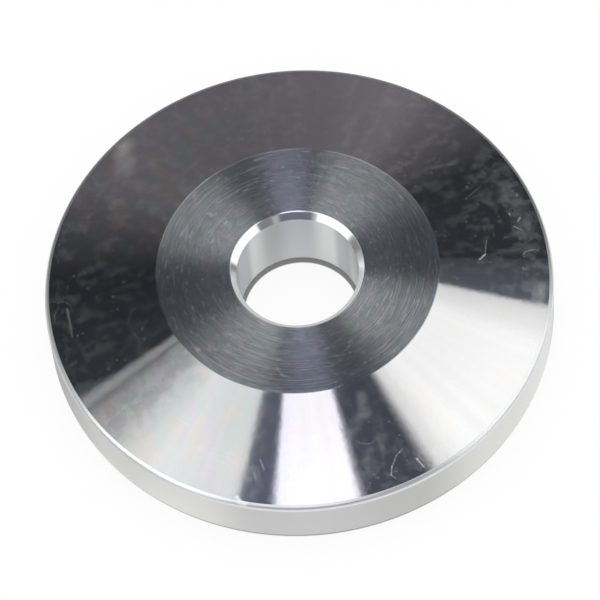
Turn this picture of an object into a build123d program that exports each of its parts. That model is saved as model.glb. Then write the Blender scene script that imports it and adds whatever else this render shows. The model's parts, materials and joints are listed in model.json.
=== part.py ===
from build123d import *
import os
from math import radians, tan

# Turned conical disc: one bright aluminium piece, faced, taper turned and bored in one lathe set-up.
# It stands on its flat underside. +Z is the turning axis and points out of the raised face.
# The origin is the middle of the underside. Lengths are millimetres, angles are degrees.

# Driving dimensions
outer_diameter = 50.0
bore_diameter = 12.0
face_diameter = 27.6
thickness = 8.4
cone_angle = 13.0

# Edge breaks, each 45 degrees and measured along both of the surfaces that meet there
bore_top_chamfer = 0.6
bore_bottom_chamfer = 0.5
rim_top_break = 0.45
rim_bottom_break = 0.5

# Radius that the tool nose leaves where the faced top turns into the cone
face_edge_radius = 0.5


def rim_height():
    """Height of the cylindrical rim, up to the sharp corner where the cone would reach it."""
    cone_width = (outer_diameter - face_diameter) / 2
    return thickness - cone_width * tan(radians(cone_angle))


def sharp_corners():
    """The turned section's corners before any edge is broken, as (radius, height) by name."""
    return {
        "bore_bottom": (bore_diameter / 2, 0),
        "rim_bottom": (outer_diameter / 2, 0),
        "rim_top": (outer_diameter / 2, rim_height()),
        "face_edge": (face_diameter / 2, thickness),
        "bore_top": (bore_diameter / 2, thickness),
    }


def turned_section():
    """Half of the disc's section, on the plane of the turning axis, with its edges broken."""
    corners = sharp_corners()
    chamfers = {
        "bore_bottom": bore_bottom_chamfer,
        "rim_bottom": rim_bottom_break,
        "rim_top": rim_top_break,
        "bore_top": bore_top_chamfer,
    }
    with BuildSketch(Plane.XZ) as section:
        with BuildLine():
            Polyline(*corners.values(), close=True)
        make_face()
        for name, length in chamfers.items():
            chamfer(section.vertices().sort_by_distance(corners[name])[0], length=length)
        fillet(section.vertices().sort_by_distance(corners["face_edge"])[0], radius=face_edge_radius)
    return section.sketch


def turned_disc():
    """The whole disc: its section turned once round the axis."""
    with BuildPart() as disc:
        add(turned_section())
        revolve(axis=Axis.Z)
    return disc.part


os.makedirs("parts", exist_ok=True)
export_step(turned_disc(), "parts/turned_disc.step")
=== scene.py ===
import json
import math

import bpy
import numpy as np
from mathutils import Matrix, Vector


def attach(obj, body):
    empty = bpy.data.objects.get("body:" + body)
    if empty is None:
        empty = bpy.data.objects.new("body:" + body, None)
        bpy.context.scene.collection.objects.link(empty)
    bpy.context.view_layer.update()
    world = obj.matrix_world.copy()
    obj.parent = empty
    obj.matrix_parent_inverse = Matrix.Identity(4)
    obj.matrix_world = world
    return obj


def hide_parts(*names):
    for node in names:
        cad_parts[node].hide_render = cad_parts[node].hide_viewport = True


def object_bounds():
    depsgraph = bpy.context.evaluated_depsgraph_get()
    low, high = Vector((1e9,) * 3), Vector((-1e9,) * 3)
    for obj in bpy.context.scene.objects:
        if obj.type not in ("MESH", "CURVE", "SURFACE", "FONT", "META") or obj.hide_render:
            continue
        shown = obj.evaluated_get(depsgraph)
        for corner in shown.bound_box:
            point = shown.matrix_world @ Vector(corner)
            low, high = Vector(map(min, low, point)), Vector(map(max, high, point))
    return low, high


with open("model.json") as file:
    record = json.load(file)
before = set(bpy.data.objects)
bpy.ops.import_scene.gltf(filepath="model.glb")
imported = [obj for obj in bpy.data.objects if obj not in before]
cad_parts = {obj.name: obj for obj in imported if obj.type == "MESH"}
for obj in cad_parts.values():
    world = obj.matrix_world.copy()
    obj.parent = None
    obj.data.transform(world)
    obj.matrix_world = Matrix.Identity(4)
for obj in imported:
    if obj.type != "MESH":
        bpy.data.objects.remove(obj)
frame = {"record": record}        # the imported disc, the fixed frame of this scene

# A bright turned aluminium disc on a white table, under a studio's softboxes. Lengths are metres.
CAD_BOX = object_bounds()
NODE = "turned_disc"
MM = 0.001

# ---- The disc's turned profile, as the CAD part has it ----

OUTER_R = CAD_BOX[1].x
TOP_Z = CAD_BOX[1].z
BORE_R = next(m for m in frame["record"]["mounts"] if m["name"] == "bore")["dims"]["r_mm"] * MM
FACE_R = 13.8 * MM
CONE_SLOPE = math.radians(13.0)
BORE_TOP_CHAMFER = 0.6 * MM
BORE_BOTTOM_CHAMFER = 0.5 * MM
RIM_TOP_BREAK = 0.45 * MM
RIM_BOTTOM_BREAK = 0.5 * MM
FACE_EDGE_RADIUS = 0.5 * MM
CHAMFER_SLOPE = math.radians(45.0)
# Only here, and not in the CAD part: the edge between the face and the bore's chamfer is slightly rounded.
BORE_EDGE_RADIUS = 0.2 * MM

# ---- The camera ----

PHOTO_PX = 600
FOCAL_PX = 4000.0
SENSOR_MM = 36.0
ELEVATION = math.radians(59.86)
ROLL = math.radians(5.52)
DISTANCE = 0.3967
AIM = Vector((-0.00012, 0.00092))
AIM_HEIGHT = 0.5 * MM
NEAREST, FARTHEST = 0.01, 10

# ---- The mesh ----

SEGMENTS = 360
ARC_STEPS = 6
RINGS_PER_ZONE = {"underside": 4, "rim": 6, "cone": 12, "face": 24, "bore": 8}


def rounded_corner(before, corner, after, length):
    """The points of an arc that rounds a corner, leaving one side at that length before it and meeting the
    other as far after it."""
    before, corner, after = (Vector(p) for p in (before, corner, after))
    start = corner + (before - corner).normalized() * length
    end = corner + (after - corner).normalized() * length
    half = (before - corner).angle(after - corner) / 2
    centre = corner + ((start + end) / 2 - corner).normalized() * length / math.cos(half)
    a, b = start - centre, end - centre
    sweep = a.angle(b)
    return [
        centre + (a * math.sin((1 - s) * sweep) + b * math.sin(s * sweep)) / math.sin(sweep)
        for s in np.linspace(0, 1, ARC_STEPS)
    ]


def profile():
    """The closed section as zones, anticlockwise from the underside, each a name and its (radius, height)
    points."""
    rim_z = TOP_Z - (OUTER_R - FACE_R) * math.tan(CONE_SLOPE)
    rim_foot, rim_top = (OUTER_R, RIM_BOTTOM_BREAK), (OUTER_R, rim_z)
    face_edge, bore_edge = (FACE_R, TOP_Z), (BORE_R + BORE_TOP_CHAMFER, TOP_Z)
    wall_top, wall_foot = (BORE_R, TOP_Z - BORE_TOP_CHAMFER), (BORE_R, BORE_BOTTOM_CHAMFER)
    rim_arc = rounded_corner(rim_foot, rim_top, face_edge, RIM_TOP_BREAK)
    face_arc = rounded_corner(rim_top, face_edge, bore_edge, FACE_EDGE_RADIUS * math.tan(CONE_SLOPE / 2))
    bore_arc = rounded_corner(face_edge, bore_edge, wall_top, BORE_EDGE_RADIUS * math.tan(CHAMFER_SLOPE / 2))
    under_in, under_out = (BORE_R + BORE_BOTTOM_CHAMFER, 0), (OUTER_R - RIM_BOTTOM_BREAK, 0)
    return [
        ("underside", [under_in, under_out]),
        ("rim", [under_out, rim_foot]),
        ("rim", [rim_foot, rim_arc[0]]),
        ("rim_edge", rim_arc),
        ("cone", [rim_arc[-1], face_arc[0]]),
        ("face", face_arc),
        ("face", [face_arc[-1], bore_arc[0]]),
        ("bore_edge", bore_arc),
        ("chamfer", [bore_arc[-1], wall_top]),
        ("bore", [wall_top, wall_foot]),
        ("chamfer", [wall_foot, under_in]),
    ]


def turned_mesh(materials):
    """The disc as one closed mesh: the profile turned round Z, with a crisp line wherever two zones meet."""
    rings, zone_of, crisp = [], [], set()
    for name, points in profile():
        points = np.array([tuple(p) for p in points])
        if len(points) == 2 and name in RINGS_PER_ZONE:
            steps = np.linspace(0, 1, RINGS_PER_ZONE[name])[:, None]
            points = points[0] + (points[1] - points[0]) * steps
        crisp.add(len(rings))
        rings.extend(points[:-1])
        zone_of.extend([name] * (len(points) - 1))
    turns = np.arange(SEGMENTS) * 2 * math.pi / SEGMENTS
    radius, height = np.array(rings).T
    x, y = np.outer(radius, np.cos(turns)), np.outer(radius, np.sin(turns))
    z = np.outer(height, np.ones(SEGMENTS))
    vertices = np.stack((x, y, z), axis=-1).reshape(-1, 3)
    faces, slots = [], []
    names = list(materials)
    for i, zone in enumerate(zone_of):
        j = (i + 1) % len(rings)
        for k in range(SEGMENTS):
            m = (k + 1) % SEGMENTS
            faces.append((i * SEGMENTS + k, i * SEGMENTS + m, j * SEGMENTS + m, j * SEGMENTS + k))
            slots.append(names.index(zone))
    mesh = bpy.data.meshes.new("disc")
    mesh.from_pydata(vertices.tolist(), [], faces)
    for material in materials.values():
        mesh.materials.append(material)
    mesh.polygons.foreach_set("material_index", slots)
    mesh.polygons.foreach_set("use_smooth", [True] * len(faces))
    for edge in mesh.edges:
        a, b = (v // SEGMENTS for v in edge.vertices)
        edge.use_edge_sharp = a == b and a in crisp
    mesh.validate()
    mesh.update()
    return mesh


# ---- Node helpers ----

# The sockets of a Mix node that take and give colours.
MIX_FACTOR, MIX_A, MIX_B, MIX_RESULT = 0, 6, 7, 2


class Tree:
    """Adds nodes to a material or a world and links them."""

    def __init__(self, owner):
        owner.use_nodes = True
        self.nodes = owner.node_tree.nodes
        self.links = owner.node_tree.links
        self.nodes.clear()

    def put(self, socket, value):
        """Links another node's output to the socket, or sets a plain value on it."""
        if isinstance(value, bpy.types.NodeSocket):
            self.links.new(value, socket)
        else:
            socket.default_value = value

    def add(self, kind, settings=(), **inputs):
        """A new node, with its settings and with its inputs by name, an underscore standing for a space."""
        node = self.nodes.new(kind)
        for key, value in dict(settings).items():
            setattr(node, key, value)
        for key, value in inputs.items():
            self.put(node.inputs[key.replace("_", " ")], value)
        return node

    def listed(self, kind, settings, values):
        """The output of a new node with its inputs in their order."""
        node = self.add(kind, settings)
        for socket, value in zip(node.inputs, values):
            self.put(socket, value)
        return node.outputs[0]

    def math(self, operation, *values):
        return self.listed("ShaderNodeMath", {"operation": operation}, values)

    def vector(self, operation, *values):
        result = self.listed("ShaderNodeVectorMath", {"operation": operation}, values)
        return result.node.outputs["Value"] if operation == "LENGTH" else result

    def smooth(self, value, low, high, to_low=0.0, to_high=1.0):
        """A smooth step from to_low, where the value is at low, to to_high, where it is at high."""
        settings = {"interpolation_type": "SMOOTHSTEP"}
        return self.listed("ShaderNodeMapRange", settings, (value, low, high, to_low, to_high))

    def total(self, *values):
        result = values[0]
        for value in values[1:]:
            result = self.math("ADD", result, value)
        return result

    def times(self, *values):
        result = values[0]
        for value in values[1:]:
            result = self.math("MULTIPLY", result, value)
        return result

    def weighted(self, *pairs):
        """The total of some values, each times its own weight."""
        return self.total(*(self.times(value, weight) for value, weight in pairs))

    def mix(self, factor, a, b):
        node = self.add("ShaderNodeMix", {"data_type": "RGBA"})
        self.put(node.inputs[MIX_FACTOR], factor)
        self.put(node.inputs[MIX_A], a)
        self.put(node.inputs[MIX_B], b)
        return node.outputs[MIX_RESULT]

    def grey_of(self, value):
        """That value in all three channels."""
        return self.add("ShaderNodeCombineXYZ", X=value, Y=value, Z=value).outputs[0]

    def noise(self, vector, detail, distortion=0.0):
        node = self.add("ShaderNodeTexNoise", Vector=vector, Scale=1.0, Detail=detail, Distortion=distortion)
        return node.outputs["Fac"]


def grey(level):
    return (level, level, level, 1.0)


# ---- Materials ----

# A quarter turn of the highlight, so that it spreads across the turning lines and not along them.
ACROSS_THE_LINES = 0.25
# The share of a stray mark's reach over which it keeps its full strength.
MARK_SOLID = 0.4
EDGE_ANISOTROPY = 0.3


class Turned(Tree):
    """A material of turned metal. Places on it are in millimetres, across the turning lines or flat on XY."""

    def __init__(self, material, across):
        super().__init__(material)
        self.flat = self.scale(self.add("ShaderNodeTexCoord").outputs["Object"], 1 / MM)
        self.x, self.y, z = self.add("ShaderNodeSeparateXYZ", Vector=self.flat).outputs
        self.radius = self.math("SQRT", self.total(self.times(self.x, self.x), self.times(self.y, self.y)))
        self.cos, self.sin = (self.math("DIVIDE", side, self.radius) for side in (self.x, self.y))
        self.across = self.radius if across == "radius" else z

    def scale(self, vector, factor):
        node = self.add("ShaderNodeVectorMath", {"operation": "SCALE"}, Scale=factor)
        self.put(node.inputs[0], vector)
        return node.outputs[0]

    def lines(self, pitch, per_radian, shift=0.0, detail=1.0):
        """Uneven turning lines of about that pitch, broken up so many times a radian, -0.5 to 0.5."""
        node = self.add("ShaderNodeCombineXYZ")
        self.put(node.inputs[0], self.math("MULTIPLY", self.cos, per_radian))
        self.put(node.inputs[1], self.math("MULTIPLY", self.sin, per_radian))
        self.put(node.inputs[2], self.math("MULTIPLY_ADD", self.across, 1 / pitch, shift))
        return self.math("SUBTRACT", self.noise(node.outputs[0], detail), 0.5)

    def blotches(self, size, detail=3.0, distortion=0.0):
        """Clouds of about that size, mostly 0.3 to 0.7."""
        return self.noise(self.scale(self.flat, 1 / size), detail, distortion)

    def marks(self, spacing, kept, reach, width, bend=0.0):
        """Stray marks, 0 to 1. Each cell of that spacing has one, or none past the share that is kept. A mark
        reaches that far each way along a bent line."""
        flat_cells = {"voronoi_dimensions": "2D"}
        cells = self.add("ShaderNodeTexVoronoi", flat_cells, Vector=self.flat, Scale=1 / spacing)
        off = self.vector("SUBTRACT", self.flat, cells.outputs["Position"])
        x, y, _ = self.add("ShaderNodeSeparateXYZ", Vector=off).outputs
        turn, curl, chance = self.add("ShaderNodeSeparateColor", Color=cells.outputs["Color"]).outputs
        turn = self.math("MULTIPLY", turn, 2 * math.pi)
        cos, sin = self.math("COSINE", turn), self.math("SINE", turn)
        along = self.total(self.times(x, cos), self.times(y, sin))
        beside = self.math("SUBTRACT", self.times(y, cos), self.times(x, sin))
        curl = self.times(self.math("SUBTRACT", curl, 0.5), 2 * bend / reach, along, along)
        beside = self.math("ABSOLUTE", self.math("ADD", beside, curl))
        thin = self.smooth(beside, 0.0, width, 1.0, 0.0)
        short = self.smooth(self.math("ABSOLUTE", along), reach * MARK_SOLID, reach, 1.0, 0.0)
        return self.times(thin, short, self.math("LESS_THAN", chance, kept))

    def stroke(self, start, end, width):
        """One mark from start to end, fading out over its width. Each end is an angle clockwise from +X and a
        radius."""
        (x0, y0), (x1, y1) = (
            (radius * math.cos(math.radians(angle)), -radius * math.sin(math.radians(angle)))
            for angle, radius in (start, end)
        )
        dx, dy = x1 - x0, y1 - y0
        from_x, from_y = self.math("SUBTRACT", self.x, x0), self.math("SUBTRACT", self.y, y0)
        along = self.total(self.times(from_x, dx), self.times(from_y, dy))
        share = self.times(along, 1 / (dx * dx + dy * dy))
        share = self.math("MINIMUM", self.math("MAXIMUM", share, 0.0), 1.0)
        off_x = self.math("SUBTRACT", from_x, self.times(share, dx))
        off_y = self.math("SUBTRACT", from_y, self.times(share, dy))
        off = self.math("SQRT", self.total(self.times(off_x, off_x), self.times(off_y, off_y)))
        return self.smooth(off, 0.0, width, 1.0, 0.0)

    def strokes(self, marks):
        """A whole list of strokes, each as strong as its last number says."""
        return self.total(*(self.times(self.stroke(*place), strength) for *place, strength in marks))

    def finish(self, colour, roughness, anisotropy, height, film=0.0):
        """The metal itself, with a bump's height in millimetres. A film on it, 0 to 1, scatters light as
        oil, dust or a scratch's torn floor does."""
        metallic = 1.0 - film if isinstance(film, float) else self.math("SUBTRACT", 1.0, film)
        bump = self.add("ShaderNodeBump", Strength=1.0, Distance=MM, Height=height)
        tangent = self.add("ShaderNodeTangent", {"direction_type": "RADIAL", "axis": "Z"})
        shader = self.add(
            "ShaderNodeBsdfPrincipled",
            Base_Color=colour,
            Metallic=metallic,
            Roughness=roughness,
            Anisotropic=anisotropy,
            Anisotropic_Rotation=ACROSS_THE_LINES,
            Normal=bump.outputs[0],
            Tangent=tangent.outputs[0],
        )
        self.add("ShaderNodeOutputMaterial", Surface=shader.outputs[0])


ALUMINIUM = (0.80, 0.81, 0.82, 1.0)
RIM_GREY = (0.775, 0.775, 0.765, 1.0)
# The second bore colour is the darker one of the bore's painted shade bands.
BORE_GREY, BORE_PAINTED_SHADE = (0.80, 0.81, 0.81, 1.0), (0.58, 0.595, 0.61, 1.0)
FACE_TEAL, FACE_MAUVE, FACE_WORN = (0.64, 0.70, 0.71, 1.0), (0.71, 0.69, 0.76, 1.0), (0.46, 0.49, 0.50, 1.0)
FLANK_GREEN, FLANK_MAUVE = (0.77, 0.825, 0.81, 1.0), (0.81, 0.795, 0.835, 1.0)
FLANK_WARM, FLANK_PLAIN = (0.84, 0.815, 0.785, 1.0), (0.815, 0.81, 0.81, 1.0)
FLANK_DULLED = (0.46, 0.48, 0.49, 1.0)
# White of struck metal in the scratches, and also the painted highlight on the arcs and on the rim chip.
STRUCK_AND_HIGHLIGHT_WHITE = (1.0, 1.0, 1.0, 1.0)

# The marks that stand out on the flank: start and end, each an angle clockwise from +X and a radius in
# millimetres, then half the width in millimetres, and how strongly each scatters light.
FLANK_MARKS = [
    ((354.4, 18.8), (359.4, 18.4), 0.10, 0.15),
    ((359.4, 18.4), (1.2, 17.8), 0.15, 0.30),
    ((67.6, 21.6), (69.4, 21.9), 0.11, 0.12),
    ((69.4, 21.9), (71.6, 22.7), 0.12, 0.18),
    ((71.6, 22.7), (72.6, 23.4), 0.13, 0.26),
    ((72.6, 23.4), (71.9, 23.9), 0.12, 0.16),
    ((65.4, 23.0), (64.9, 24.0), 0.16, 0.34),
    ((64.6, 22.8), (64.3, 23.5), 0.12, 0.14),
    ((341.6, 23.5), (342.0, 23.5), 0.16, 0.20),
    ((346.6, 21.9), (347.0, 21.9), 0.14, 0.26),
    ((348.3, 22.8), (349.1, 22.5), 0.16, 0.22),
    ((350.7, 21.9), (351.9, 22.5), 0.12, 0.18),
    ((334.5, 19.3), (334.9, 19.3), 0.12, 0.14),
    ((309.1, 22.6), (309.4, 22.6), 0.12, 0.16),
    ((108.7, 24.3), (107.6, 24.7), 0.28, 0.70),
    ((105.0, 20.4), (103.6, 21.3), 0.12, 0.22),
    ((105.9, 21.7), (105.2, 22.4), 0.10, 0.16),
    ((113.0, 21.0), (123.0, 21.0), 0.10, 0.10),
    ((112.0, 20.4), (119.0, 20.5), 0.09, 0.08),
]
# Broader and fainter: a thumbed patch, wipes and a dusting near the edge.
FLANK_SMUDGES = [
    ((221.5, 21.6), (227.5, 23.6), 1.5, 0.14),
    ((71.0, 15.3), (72.5, 16.9), 0.9, 0.09),
    ((72.5, 16.9), (79.0, 18.4), 0.9, 0.08),
    ((75.2, 20.5), (77.4, 21.6), 0.8, 0.10),
    ((71.2, 19.6), (72.2, 20.5), 0.7, 0.06),
    ((8.0, 24.0), (10.5, 23.6), 1.1, 0.22),
    ((340.0, 22.8), (352.0, 23.0), 1.8, 0.05),
    ((170.0, 22.8), (178.0, 22.8), 0.2, 0.10),
    ((322.0, 17.0), (326.0, 20.0), 0.3, 0.05),
]
# A dulled patch, and a painted highlight along some turning lines, each with its half width.
FLANK_DULL = ((143.0, 15.0), (144.0, 23.0), 4.2)
FLANK_ARC_HIGHLIGHT = ((118.0, 20.5), (132.0, 20.0), 3.2)
# Upright darker bands in the bore, painted shade that stands in for reflections, each with its half width.
BORE_PAINTED_SHADE_BANDS = [((190.0, 6.0), (216.0, 6.0), 1.1), ((317.0, 6.0), (327.0, 6.0), 1.0)]
# A chip in the rim's upper edge, painted white as a glint, with its half width.
RIM_CHIP_GLINT = ((106.8, 24.75), (108.2, 24.6), 0.42)


def face_metal():
    """The faced centre: turning lines with torn flecks, blurring the studio along the radius."""
    material = bpy.data.materials.new("face_metal")
    t = Turned(material, "radius")
    fine = t.lines(pitch=0.16, per_radian=1.6, detail=2.0)
    coarse = t.lines(pitch=0.5, per_radian=1.3, shift=40.0, detail=2.0)
    swell = t.lines(pitch=1.6, per_radian=1.0, shift=70.0)
    torn = t.smooth(t.lines(pitch=0.20, per_radian=14.0, shift=90.0, detail=2.0), 0.10, 0.24)
    height = t.weighted((fine, 0.014), (coarse, 0.006), (swell, 0.012), (torn, 0.002))
    rough = t.smooth(t.radius, 7.0, 13.0, 0.16, 0.145)
    roughness = t.total(rough, t.times(torn, 0.06), t.times(t.blotches(size=1.2), 0.02))
    hue = t.smooth(t.blotches(size=1.6, detail=4.0, distortion=0.8), 0.35, 0.65)
    tints_and_painted_shade = t.mix(hue, FACE_TEAL, FACE_MAUVE)
    patches = t.smooth(t.blotches(size=0.9, detail=5.0, distortion=0.4), 0.40, 0.62, 0.0, 0.35)
    worn = t.smooth(t.lines(pitch=0.30, per_radian=8.0, shift=15.0, detail=3.0), -0.2, 0.2, 0.0, 0.4)
    colour = t.mix(t.math("MAXIMUM", worn, patches), tints_and_painted_shade, FACE_WORN)
    film = t.total(t.times(torn, 0.14), t.smooth(t.radius, 7.0, 12.0, 0.04, 0.005))
    t.finish(colour, roughness, 1.0, height, film)
    return material


def flank_metal():
    """The taper turned flank: a finer finish under smears, specks and curved handling scratches."""
    material = bpy.data.materials.new("flank_metal")
    t = Turned(material, "radius")

    # How much it has been handled: most in front and near the rim, less at the left.
    handled = t.times(t.smooth(t.y, 2.0, 18.0, 1.0, 0.15), t.smooth(t.radius, 15.0, 23.5, 0.3, 1.0))
    handled = t.times(handled, t.smooth(t.x, -20.0, -5.0, 0.5, 1.0))

    scratches = t.marks(spacing=5.0, kept=0.4, reach=1.3, width=0.09, bend=0.7)
    nicks = t.marks(spacing=1.9, kept=0.3, reach=0.35, width=0.09, bend=0.1)
    specks = t.marks(spacing=1.3, kept=0.25, reach=0.12, width=0.12)
    strays = t.total(t.times(scratches, 0.18, handled), t.times(nicks, 0.12, handled), t.times(specks, 0.16))
    named = t.strokes(FLANK_MARKS)
    wipes = t.lines(pitch=3.0, per_radian=16.0, shift=7.0, detail=5.0)
    wiped = t.total(wipes, t.times(t.blotches(size=0.9, detail=5.0), 0.9), -0.45)
    smears = t.smooth(wiped, -0.08, 0.22)
    rubbed = t.lines(pitch=0.8, per_radian=6.0, shift=33.0, detail=4.0)
    smudges = t.times(t.strokes(FLANK_SMUDGES), t.smooth(rubbed, -0.2, 0.2, 0.35, 1.3))
    film = t.total(t.times(smears, handled, 0.06), smudges, strays, named)

    waves = t.blotches(size=1.5, detail=2.0)
    fine = t.lines(pitch=0.2, per_radian=3.0)
    coarse = t.lines(pitch=0.9, per_radian=1.5, shift=20.0)
    height = t.weighted((fine, 0.0015), (coarse, 0.002), (waves, 0.002))
    roughness = t.total(0.068, t.times(smears, 0.025))

    # A pearly tone in bands, plainer at the right and brighter towards the rim.
    cloud = t.smooth(t.lines(pitch=2.0, per_radian=11.0, shift=60.0, detail=5.0), -0.12, 0.12)
    tinge = t.smooth(t.lines(pitch=3.0, per_radian=8.0, shift=90.0, detail=4.0), 0.0, 0.16)
    pearl = t.mix(tinge, t.mix(cloud, FLANK_GREEN, FLANK_MAUVE), FLANK_WARM)
    pearl = t.mix(t.smooth(t.x, -5.0, 0.0, 0.0, 0.85), pearl, FLANK_PLAIN)
    pearl = t.vector("MULTIPLY", pearl, t.grey_of(t.smooth(t.radius, 14.5, 23.5, 0.97, 1.06)))
    mottle = t.smooth(t.blotches(size=1.3, detail=5.0, distortion=0.3), 0.40, 0.60)
    dull = t.times(t.stroke(*FLANK_DULL), mottle)
    pearl = t.mix(t.times(dull, 0.40), pearl, FLANK_DULLED)
    rings = t.smooth(t.lines(pitch=0.3, per_radian=5.0, shift=110.0, detail=3.0), 0.08, 0.22)
    # A band of turning lines whitened in colour: a painted highlight where the grooves would catch the light.
    arc_highlight = t.times(t.stroke(*FLANK_ARC_HIGHLIGHT), rings)
    scratch_white_and_highlight = t.math("MINIMUM", t.weighted((named, 2.5), (arc_highlight, 0.45)), 1.0)
    t.finish(t.mix(scratch_white_and_highlight, pearl, STRUCK_AND_HIGHLIGHT_WHITE), roughness, 1.0, height, film)
    return material


def wall_metal(name, across, roughness, colour, tints_and_painted_shade=()):
    """A bored or turned wall with even feed marks, and perhaps upright bands of painted shade."""
    material = bpy.data.materials.new(name)
    t = Turned(material, across)
    for shade_band in tints_and_painted_shade:
        # Each band mixes in a darker colour: painted shade that stands in for reflections.
        colour = t.mix(t.stroke(*shade_band), colour, BORE_PAINTED_SHADE)
    t.finish(colour, roughness, 1.0, t.times(t.lines(pitch=0.15, per_radian=3.0), 0.003))
    return material


def edge_metal(name, roughness, colour, haze=0.0, painted_front_highlight=0.0, chip_glint=None):
    """A broken edge, burnished by handling, with an even haze, perhaps more of it in front as a painted
    highlight, and perhaps one chip painted white as a glint."""
    material = bpy.data.materials.new(name)
    t = Turned(material, "radius")
    height = t.times(t.blotches(size=0.6), 0.002)
    film = haze
    # More haze on the front half only: a painted highlight that lightens the near side of the edge.
    if painted_front_highlight:
        film = t.smooth(t.y, -1.5, 1.5, painted_front_highlight, haze)
    if chip_glint:
        # The chip is painted white and fully hazed: a painted glint on a real chip.
        glint = t.stroke(*chip_glint)
        colour = t.mix(glint, colour, STRUCK_AND_HIGHLIGHT_WHITE)
        film = t.total(haze, t.times(glint, 1 - haze))
    t.finish(colour, roughness, EDGE_ANISOTROPY, height, film)
    return material


def materials():
    """The finish of each zone of the profile."""
    return {
        "underside": wall_metal("underside_metal", "radius", 0.22, ALUMINIUM),
        "rim": wall_metal("rim_metal", "height", 0.42, RIM_GREY),
        "rim_edge": edge_metal("rim_edge_metal", 0.30, ALUMINIUM, haze=0.10, chip_glint=RIM_CHIP_GLINT),
        "cone": flank_metal(),
        "bore_edge": edge_metal("bore_edge_metal", 0.12, ALUMINIUM),
        "face": face_metal(),
        "chamfer": edge_metal("chamfer_metal", 0.12, ALUMINIUM, haze=0.06, painted_front_highlight=0.75),
        "bore": wall_metal("bore_metal", "height", 0.45, BORE_GREY, BORE_PAINTED_SHADE_BANDS),
    }


# ---- The studio ----

# The studio is laid out round the direction that a level polished surface would show the camera. What
# lies there is given by the slope that shows it: how far the surface tips, and which way it faces, in degrees
# clockwise from +X seen from above. Each ring is a list of (angle, light, tint), with straight fades in
# between, and has 32 stops at most.
WHITE, COOL, SLATE, DUSK = (1.0, 1.0, 1.0), (0.88, 0.96, 1.18), (0.87, 0.92, 1.26), (1.01, 0.96, 1.06)
VIOLET, PALE, IRIS = (1.0, 0.97, 1.10), (1.0, 0.99, 1.03), (0.90, 0.90, 1.35)
FACE_RING = [
    (0, 0.05, COOL), (8, 0.10, COOL),
    (13, 0.85, WHITE), (22, 1.30, WHITE), (42, 1.35, WHITE), (50, 1.05, WHITE), (55, 0.40, WHITE),
    (59, 0.05, SLATE),
    (79.5, 0.05, SLATE), (80.5, 1.00, IRIS), (98.5, 0.85, IRIS), (99.5, 0.05, SLATE), (105, 0.05, SLATE),
    (106, 1.80, WHITE), (126, 1.50, WHITE), (138, 1.10, WHITE), (150, 0.45, WHITE), (156, 0.05, COOL),
    (183, 0.05, COOL), (193, 0.25, WHITE), (209, 1.15, WHITE), (233, 1.25, WHITE),
    (242, 0.45, WHITE), (257, 0.35, DUSK),
    (259, 0.80, VIOLET), (277, 0.75, VIOLET), (278, 0.10, DUSK), (285, 0.10, DUSK), (290, 1.05, WHITE),
    (316, 1.15, WHITE), (333, 0.55, WHITE), (345, 0.20, COOL),
]
FLANK_RING = [
    (0, 0.060, COOL), (11.3, 0.11, COOL),
    (12.1, 0.76, WHITE), (16, 0.88, WHITE), (23, 1.10, WHITE), (54, 1.12, WHITE), (60.5, 0.84, WHITE),
    (63.8, 0.07, SLATE), (79.9, 0.085, SLATE),
    (80.9, 1.25, VIOLET), (83, 1.20, PALE), (95, 1.20, PALE), (100.5, 1.15, VIOLET),
    (101.3, 0.12, SLATE), (108.1, 0.14, SLATE),
    (109.8, 0.80, WHITE), (130, 0.91, WHITE), (138, 0.72, WHITE), (142, 0.54, WHITE),
    (150.3, 0.31, WHITE), (151.4, 0.04, DUSK), (152.5, 0.34, WHITE), (154.5, 0.32, WHITE),
    (155.5, 0.035, COOL),
    (187, 0.022, COOL), (203, 0.058, DUSK), (216, 0.108, DUSK),
    (265, 0.12, DUSK), (303, 0.155, DUSK), (312, 0.10, DUSK), (330, 0.026, COOL), (350, 0.032, COOL),
]
EDGE_RING = [
    (0, 0.4, WHITE), (12, 0.5, WHITE), (14, 1.3, WHITE), (56, 1.25, WHITE), (62, 0.25, WHITE),
    (79, 0.25, WHITE),
    (80.5, 1.25, VIOLET), (101.5, 1.25, VIOLET), (103, 0.4, WHITE), (108, 0.5, WHITE),
    (111, 1.6, WHITE), (149, 1.6, WHITE), (152, 0.6, WHITE), (170, 0.3, WHITE), (195, 0.08, WHITE),
    (345, 0.08, WHITE),
]
SIDE_RING = [
    (0, 0.5, WHITE), (4, 0.5, WHITE), (6, 0.22, WHITE), (12, 0.22, WHITE),
    (14, 1.3, WHITE), (56, 1.3, WHITE),
    (57.5, 0.20, WHITE), (71, 0.22, WHITE), (73, 0.5, WHITE), (77, 0.45, WHITE),
    (79, 0.13, IRIS), (107, 0.14, IRIS), (109, 0.45, WHITE), (111.5, 0.5, WHITE),
    (113, 1.3, WHITE), (149, 1.3, WHITE),
    (150.5, 0.5, WHITE), (153, 0.4, WHITE), (154, 0.24, WHITE), (164, 0.24, WHITE),
    (168, 0.45, WHITE), (174, 0.5, WHITE), (180, 0.9, WHITE), (205, 0.9, WHITE), (215, 0.5, WHITE),
    (340, 0.5, WHITE),
]
WALL_RING = [
    (0, 0.5, WHITE), (8, 0.10, WHITE), (38, 0.10, WHITE),
    (43, 0.45, WHITE), (48, 0.95, WHITE), (57, 0.90, WHITE), (63, 0.45, WHITE),
    (110, 0.45, WHITE), (114, 1.0, WHITE), (130, 0.95, WHITE), (135, 0.10, WHITE), (152, 0.08, WHITE),
    (158, 1.1, WHITE), (175, 1.1, WHITE), (185, 0.5, WHITE), (340, 0.5, WHITE),
]
CENTRE = (0.060, 0.064, 0.074, 1.0)
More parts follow.
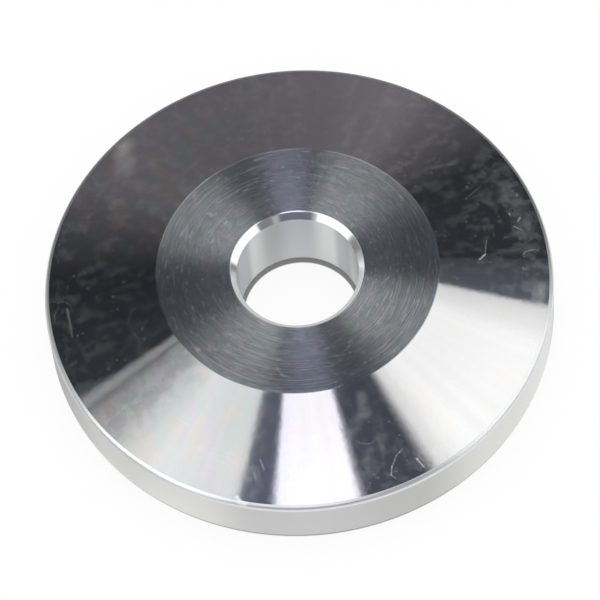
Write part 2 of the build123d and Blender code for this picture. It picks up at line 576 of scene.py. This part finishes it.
# Each ring, with the tips in degrees over which it takes over from the one before.
RINGS = [
    (3.5, 8, FACE_RING),
    (9.5, 11.5, FLANK_RING),
    (20, 24, EDGE_RING),
    (40, 42, SIDE_RING),
    (47.5, 50, WALL_RING),
]
# Faint streaks in the cards: how fine they are round the ring, and how far they go up and down.
STREAKS, STREAK_DEPTH = 110.0, 0.05
TABLE_LIGHT = 0.75


def ring(t, turn, stops):
    """What lies round the middle, as a ramp over the turn from 0 to 1."""
    node = t.add("ShaderNodeValToRGB", Fac=turn)
    ramp = node.color_ramp.elements
    ramp.remove(ramp[1])
    for i, (angle, light, tint) in enumerate(stops):
        stop = ramp[0] if i == 0 else ramp.new(angle / 360)
        stop.color = (*(light * part for part in tint), 1.0)
    return node.outputs[0]


def studio_world():
    """White for the camera, an even grey for the table, and the cards that polished metal shows."""
    world = bpy.data.worlds.new("studio")
    world.cycles.sampling_method = "NONE"
    bpy.context.scene.world = world
    t = Tree(world)
    direction = t.add("ShaderNodeTexCoord").outputs["Generated"]
    towards_camera = (0.0, -math.cos(ELEVATION), math.sin(ELEVATION))
    facing = t.vector("NORMALIZE", t.vector("ADD", direction, towards_camera))
    x, y, z = t.add("ShaderNodeSeparateXYZ", Vector=facing).outputs
    tip = t.math("ARCCOSINE", z)
    turn = t.math("DIVIDE", t.math("ARCTAN2", t.math("MULTIPLY", y, -1.0), x), 2 * math.pi)
    turn = t.math("FRACT", t.math("ADD", turn, 1.0))
    cards = CENTRE
    for begins, full, stops in RINGS:
        cards = t.mix(t.smooth(tip, math.radians(begins), math.radians(full)), cards, ring(t, turn, stops))
    streaks = t.add("ShaderNodeTexNoise", {"noise_dimensions": "1D"}, Scale=STREAKS, Detail=3.0, W=turn)
    streaks = t.math("MULTIPLY_ADD", t.math("SUBTRACT", streaks.outputs["Fac"], 0.5), 2 * STREAK_DEPTH, 1.0)
    cards = t.vector("MULTIPLY", cards, streaks)
    path = t.add("ShaderNodeLightPath")
    seen = t.math("MAXIMUM", path.outputs["Is Camera Ray"], path.outputs["Is Transmission Ray"])
    light = t.mix(path.outputs["Is Glossy Ray"], grey(TABLE_LIGHT), cards)
    light = t.mix(seen, light, grey(1.0))
    background = t.add("ShaderNodeBackground", Color=light)
    t.add("ShaderNodeOutputWorld", Surface=background.outputs[0])


TABLE_SIZE = 3.0
# The share of the table's white that takes shadow.
TABLE_SHADOW_SHARE = 0.10
# Where reflections see the table's white fade, and what is left of it: away from the middle, then behind
# along Y, and to the left along X.
TABLE_FAR, TABLE_FAR_WHITE = (0.04, 0.12), 0.55
TABLE_BEHIND, TABLE_BEHIND_WHITE = (0.018, 0.026), 0.25
TABLE_LEFT, TABLE_LEFT_WHITE = (-0.024, -0.015), 0.72
# The contact shade under the disc, between these radii, and what is left of the white there.
SHADE_IN = (BORE_R - 0.40 * MM, BORE_R - 0.25 * MM)
SHADE_OUT = (OUTER_R - 0.25 * MM, OUTER_R - 0.05 * MM)
SHADE_WHITE = 0.17


def table():
    """A white table. Most of its white is its own, so that the disc's shadow stays soft and light, but it is
    dark where the disc stands and just inside the bore. Reflections see its white fade away from the disc,
    behind it and to its left."""
    half = TABLE_SIZE / 2
    mesh = bpy.data.meshes.new("table")
    corners = [(-half, -half, 0), (half, -half, 0), (half, half, 0), (-half, half, 0)]
    mesh.from_pydata(corners, [], [(0, 1, 2, 3)])
    floor = bpy.data.objects.new("table", mesh)
    bpy.context.collection.objects.link(floor)
    material = bpy.data.materials.new("table_white")
    t = Tree(material)
    path = t.add("ShaderNodeLightPath")
    seen = t.math("MAXIMUM", path.outputs["Is Camera Ray"], path.outputs["Is Glossy Ray"])
    seen = t.math("MAXIMUM", seen, path.outputs["Is Transmission Ray"])
    place = t.add("ShaderNodeTexCoord").outputs["Object"]
    radius = t.vector("LENGTH", place)
    x, y, _ = t.add("ShaderNodeSeparateXYZ", Vector=place).outputs
    shade = t.times(t.smooth(radius, *SHADE_IN), t.smooth(radius, *SHADE_OUT, 1.0, 0.0))
    lit = t.math("MULTIPLY_ADD", shade, SHADE_WHITE - 1, 1.0)
    far = t.smooth(radius, *TABLE_FAR, 1.0, TABLE_FAR_WHITE)
    far = t.times(far, t.smooth(y, *TABLE_BEHIND, 1.0, TABLE_BEHIND_WHITE))
    far = t.times(far, t.smooth(x, *TABLE_LEFT, TABLE_LEFT_WHITE, 1.0))
    far = t.math("MAXIMUM", far, path.outputs["Is Camera Ray"])
    glow = t.times(seen, lit, far, 1 - TABLE_SHADOW_SHARE)
    both = t.add("ShaderNodeAddShader")
    t.put(both.inputs[0], t.add("ShaderNodeBsdfDiffuse", Color=grey(TABLE_SHADOW_SHARE)).outputs[0])
    t.put(both.inputs[1], t.add("ShaderNodeEmission", Color=grey(1.0), Strength=glow).outputs[0])
    t.add("ShaderNodeOutputMaterial", Surface=both.outputs[0])
    mesh.materials.append(material)


LAMP_SIZE, LAMP_WATTS, LAMP_PLACE = 0.8, 4.4, (0.1, 0.15, 1.2)


def overhead_lamp():
    """One broad soft lamp overhead, which reflections don't see."""
    light = bpy.data.lights.new("overhead", "AREA")
    light.size = LAMP_SIZE
    light.energy = LAMP_WATTS
    lamp = bpy.data.objects.new("overhead", light)
    lamp.location = LAMP_PLACE
    lamp.visible_glossy = False
    bpy.context.collection.objects.link(lamp)


def camera():
    """In front and above, rolled a little, aimed beside the disc's middle."""
    data = bpy.data.cameras.new("camera")
    data.sensor_width = SENSOR_MM
    data.lens = SENSOR_MM * FOCAL_PX / PHOTO_PX
    data.clip_start, data.clip_end = NEAREST, FARTHEST
    right, up = Vector((1, 0, 0)), Vector((0, math.sin(ELEVATION), math.cos(ELEVATION)))
    forward = Vector((0, math.cos(ELEVATION), -math.sin(ELEVATION)))
    turned_right = math.cos(ROLL) * right - math.sin(ROLL) * up
    turned_up = math.sin(ROLL) * right + math.cos(ROLL) * up
    aim = Vector((0, 0, AIM_HEIGHT)) + turned_right * AIM.x + turned_up * AIM.y
    shot = bpy.data.objects.new("camera", data)
    facing = Matrix((turned_right, turned_up, -forward)).transposed().to_4x4()
    shot.matrix_world = Matrix.Translation(aim - forward * DISTANCE) @ facing
    bpy.context.collection.objects.link(shot)
    bpy.context.scene.camera = shot


scene = bpy.context.scene
scene.view_settings.view_transform = "Standard"

disc = bpy.data.objects.new("disc", turned_mesh(materials()))
bpy.context.collection.objects.link(disc)
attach(disc, "root")
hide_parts(NODE)
studio_world()
table()
overhead_lamp()
camera()

bpy.context.view_layer.update()
